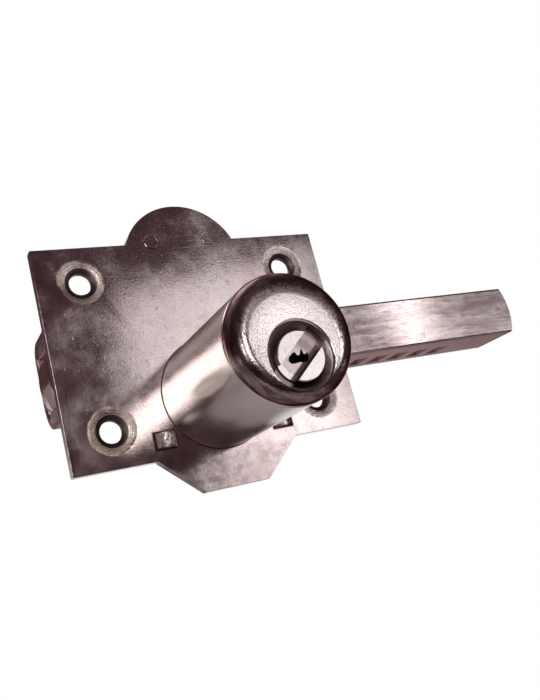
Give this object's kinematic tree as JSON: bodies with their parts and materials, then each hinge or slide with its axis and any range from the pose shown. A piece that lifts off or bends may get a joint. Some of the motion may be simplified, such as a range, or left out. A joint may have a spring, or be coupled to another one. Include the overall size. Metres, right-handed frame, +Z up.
{
  "type": "surface mounted deadbolt",
  "caption": "Surface mounted deadbolt: flat plate with a round lobe and tab, armoured round key barrel in front, rack-driven rectangular bolt in a case behind.",
  "frame": {"origin": "centre of the four plate screw holes, on the plate's rear face", "axes": "+X the way the bolt is thrown, +Z up, +Y from the plate into the case; the barrel stands out along -Y"},
  "size_m": [0.1682, 0.0798, 0.0865],
  "materials": {
    "plate_steel": "polished, smudged",
    "case_steel": "pressed sheet, satin",
    "rivet_steel": "satin",
    "stop_steel": "satin",
    "bearing_brass": "turned",
    "guide_steel": "plain",
    "pad_plastic": "matte",
    "spring_steel": "wire",
    "sleeve_steel": "satin nickel",
    "cap_steel": "dark polished",
    "guard_steel": "dark hardened",
    "body_brass": "turned",
    "screw_steel": "dark",
    "hard_steel": "hardened",
    "driver_steel": "turned",
    "pin_spring_steel": "wire",
    "chamber_brass": "pressed",
    "plug_brass": "nickelled",
    "plug_face_steel": "bright",
    "pin_brass": "turned",
    "clip_steel": "dark",
    "drive_steel": "drawn",
    "pinion_steel": "cut",
    "bolt_steel": "brushed lengthwise"
  },
  "bodies": {
    "frame": {"mounting_plate": "plate_steel", "case": "case_steel", "case_rivets": "rivet_steel", "stop_pin": "stop_steel", "pinion_bush": "bearing_brass", "bolt_guides": "guide_steel", "friction_pad": "pad_plastic", "friction_spring": "spring_steel", "barrel_sleeve": "sleeve_steel", "barrel_cap": "cap_steel", "guard_ring": "guard_steel", "cylinder_body": "body_brass", "barrel_screws": "screw_steel", "anti_drill_pins": "hard_steel", "driver_pins": "driver_steel", "pin_springs": "pin_spring_steel", "chamber_plugs": "chamber_brass"},
    "plug_drive": {"plug": "plug_brass", "plug_face": "plug_face_steel", "key_pins": "pin_brass", "plug_clip": "clip_steel", "drive_bar": "drive_steel", "pinion": "pinion_steel"},
    "bolt": {"bolt": "bolt_steel"}
  },
  "joints": [
    {"name": "bolt_slide", "type": "slide", "parent": "frame", "child": "bolt", "axis": [1, 0, 0], "range_m": [-0.07775, 0]},
    {"name": "plug_turn", "type": "hinge", "parent": "frame", "child": "plug_drive", "pos_m": [0, -0.0275, -0.0209], "axis": [0, 1, 0], "range_deg": [-360, 0]}
  ],
  "couplings": [
    {"joint": "plug_turn", "follows": "bolt_slide", "rad_per_m": 80.808}
  ]
}
